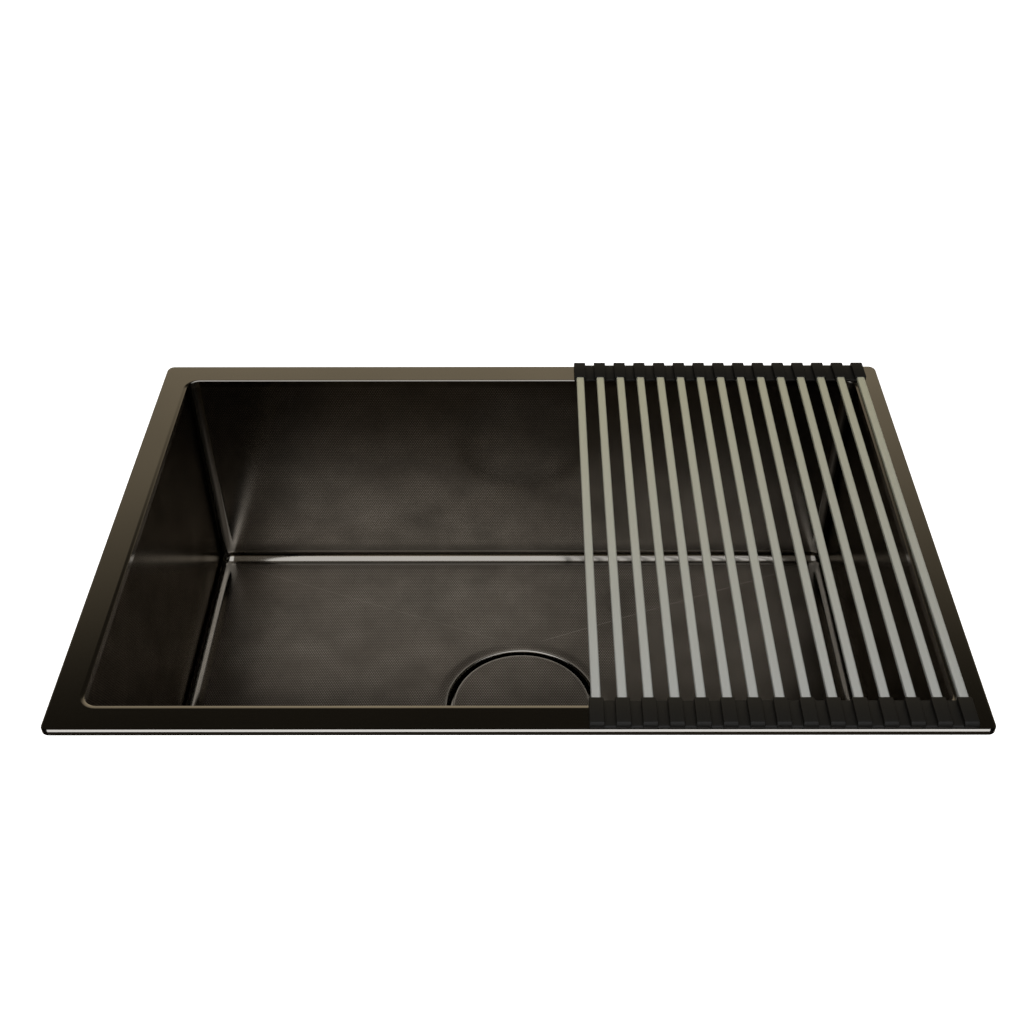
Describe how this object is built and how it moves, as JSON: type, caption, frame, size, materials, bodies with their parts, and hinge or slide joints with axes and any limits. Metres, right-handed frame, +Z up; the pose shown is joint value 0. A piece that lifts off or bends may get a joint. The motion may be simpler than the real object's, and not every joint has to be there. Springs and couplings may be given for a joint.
{
  "type": "kitchen sink",
  "caption": "Deep rectangular workstation sink with a flat rim, a round drain recess under a cover plate, a basket strainer with tailpiece, and a roll-up drying rack lying across the rim.",
  "frame": {"origin": "centre of the bowl's mouth in the plane of the rim's top face", "axes": "+X along the long side to the user's right, +Y to the rear, +Z up"},
  "size_m": [0.762, 0.508, 0.451],
  "materials": {
    "gunmetal": "dark bronze-black coated stainless sheet, satin brushed, with fine embossed dots on the bowl",
    "cover_gunmetal": "dark coated stainless plate, satin",
    "foot_rubber": "matt black rubber",
    "seal": "soft black sealing rubber",
    "sound_pad": "matt black sound-deadening rubber",
    "drain_steel": "satin stainless steel",
    "friction_ring": "pale fibre slip ring",
    "nut_plastic": "moulded dark grey plastic",
    "stopper_rubber": "black rubber",
    "rack_steel": "satin stainless tube",
    "rack_silicone": "matt black silicone"
  },
  "bodies": {
    "sink": {"top_plate": "gunmetal", "bowl": "gunmetal", "rim_seal": "seal", "floor_pads": "sound_pad", "wall_pads": "sound_pad", "flange_gasket": "seal", "strainer_body": "drain_steel", "clamp_gasket": "seal", "clamp_washer": "friction_ring", "lock_nut": "nut_plastic", "tail_washer": "seal", "tailpiece": "drain_steel", "slip_nut": "nut_plastic"},
    "drain_cover": {"cover_plate": "cover_gunmetal", "cover_feet": "foot_rubber"},
    "basket": {"basket_cup": "drain_steel", "basket_post": "drain_steel", "basket_stopper": "stopper_rubber"},
    "rack_link_01": {"rack_bar_01": "rack_steel", "rack_ends_01": "rack_silicone"},
    "rack_link_02": {"rack_bar_02": "rack_steel", "rack_ends_02": "rack_silicone"},
    "rack_link_03": {"rack_bar_03": "rack_steel", "rack_ends_03": "rack_silicone"},
    "rack_link_04": {"rack_bar_04": "rack_steel", "rack_ends_04": "rack_silicone"},
    "rack_link_05": {"rack_bar_05": "rack_steel", "rack_ends_05": "rack_silicone"},
    "rack_link_06": {"rack_bar_06": "rack_steel", "rack_ends_06": "rack_silicone"},
    "rack_link_07": {"rack_bar_07": "rack_steel", "rack_ends_07": "rack_silicone"},
    "rack_link_08": {"rack_bar_08": "rack_steel", "rack_ends_08": "rack_silicone"},
    "rack_link_09": {"rack_bar_09": "rack_steel", "rack_ends_09": "rack_silicone"},
    "rack_link_10": {"rack_bar_10": "rack_steel", "rack_ends_10": "rack_silicone"},
    "rack_link_11": {"rack_bar_11": "rack_steel", "rack_ends_11": "rack_silicone"},
    "rack_link_12": {"rack_bar_12": "rack_steel", "rack_ends_12": "rack_silicone"},
    "rack_link_13": {"rack_bar_13": "rack_steel", "rack_ends_13": "rack_silicone"},
    "rack_link_14": {"rack_bar_14": "rack_steel", "rack_ends_14": "rack_silicone"},
    "rack_link_15": {"rack_bar_15": "rack_steel", "rack_ends_15": "rack_silicone"}
  },
  "joints": [
    {"name": "cover_lift", "type": "slide", "parent": "sink", "child": "drain_cover", "axis": [0, 0, 1], "range_m": [0, 0.2]},
    {"name": "basket_lift", "type": "slide", "parent": "sink", "child": "basket", "axis": [0, 0, 1], "range_m": [0, 0.09]},
    {"name": "rack_lift", "type": "slide", "parent": "sink", "child": "rack_link_15", "axis": [0, 0, 1], "range_m": [0, 0.12]},
    {"name": "roll_14", "type": "hinge", "parent": "rack_link_15", "child": "rack_link_14", "pos_m": [0.34947, 0.00075, 0.002], "axis": [0, 1, 0], "range_deg": [0, 36.01]},
    {"name": "roll_13", "type": "hinge", "parent": "rack_link_14", "child": "rack_link_13", "pos_m": [0.32822, 0.00075, 0.002], "axis": [0, 1, 0], "range_deg": [0, 36.08]},
    {"name": "roll_12", "type": "hinge", "parent": "rack_link_13", "child": "rack_link_12", "pos_m": [0.30697, 0.00075, 0.002], "axis": [0, 1, 0], "range_deg": [0, 36.4]},
    {"name": "roll_11", "type": "hinge", "parent": "rack_link_12", "child": "rack_link_11", "pos_m": [0.28573, 0.00075, 0.002], "axis": [0, 1, 0], "range_deg": [0, 37.08]},
    {"name": "roll_10", "type": "hinge", "parent": "rack_link_11", "child": "rack_link_10", "pos_m": [0.26448, 0.00075, 0.002], "axis": [0, 1, 0], "range_deg": [0, 38.21]},
    {"name": "roll_09", "type": "hinge", "parent": "rack_link_10", "child": "rack_link_09", "pos_m": [0.24322, 0.00075, 0.002], "axis": [0, 1, 0], "range_deg": [0, 39.86]},
    {"name": "roll_08", "type": "hinge", "parent": "rack_link_09", "child": "rack_link_08", "pos_m": [0.22198, 0.00075, 0.002], "axis": [0, 1, 0], "range_deg": [0, 42.09]},
    {"name": "roll_07", "type": "hinge", "parent": "rack_link_08", "child": "rack_link_07", "pos_m": [0.20072, 0.00075, 0.002], "axis": [0, 1, 0], "range_deg": [0, 44.95]},
    {"name": "roll_06", "type": "hinge", "parent": "rack_link_07", "child": "rack_link_06", "pos_m": [0.17947, 0.00075, 0.002], "axis": [0, 1, 0], "range_deg": [0, 48.49]},
    {"name": "roll_05", "type": "hinge", "parent": "rack_link_06", "child": "rack_link_05", "pos_m": [0.15823, 0.00075, 0.002], "axis": [0, 1, 0], "range_deg": [0, 52.76]},
    {"name": "roll_04", "type": "hinge", "parent": "rack_link_05", "child": "rack_link_04", "pos_m": [0.13698, 0.00075, 0.002], "axis": [0, 1, 0], "range_deg": [0, 57.81]},
    {"name": "roll_03", "type": "hinge", "parent": "rack_link_04", "child": "rack_link_03", "pos_m": [0.11572, 0.00075, 0.002], "axis": [0, 1, 0], "range_deg": [0, 63.67]},
    {"name": "roll_02", "type": "hinge", "parent": "rack_link_03", "child": "rack_link_02", "pos_m": [0.09448, 0.00075, 0.002], "axis": [0, 1, 0], "range_deg": [0, 70.39]},
    {"name": "roll_01", "type": "hinge", "parent": "rack_link_02", "child": "rack_link_01", "pos_m": [0.07322, 0.00075, 0.002], "axis": [0, 1, 0], "range_deg": [0, 78]}
  ],
  "couplings": [
    {"joint": "basket_lift", "follows": "cover_lift", "ratio": 0.45},
    {"joint": "roll_14", "follows": "roll_01", "ratio": 0.4615},
    {"joint": "roll_13", "follows": "roll_01", "ratio": 0.4624},
    {"joint": "roll_12", "follows": "roll_01", "ratio": 0.4665},
    {"joint": "roll_11", "follows": "roll_01", "ratio": 0.4753},
    {"joint": "roll_10", "follows": "roll_01", "ratio": 0.4898},
    {"joint": "roll_09", "follows": "roll_01", "ratio": 0.5109},
    {"joint": "roll_08", "follows": "roll_01", "ratio": 0.5395},
    {"joint": "roll_07", "follows": "roll_01", "ratio": 0.5761},
    {"joint": "roll_06", "follows": "roll_01", "ratio": 0.6215},
    {"joint": "roll_05", "follows": "roll_01", "ratio": 0.6763},
    {"joint": "roll_04", "follows": "roll_01", "ratio": 0.741},
    {"joint": "roll_03", "follows": "roll_01", "ratio": 0.8162},
    {"joint": "roll_02", "follows": "roll_01", "ratio": 0.9023}
  ]
}
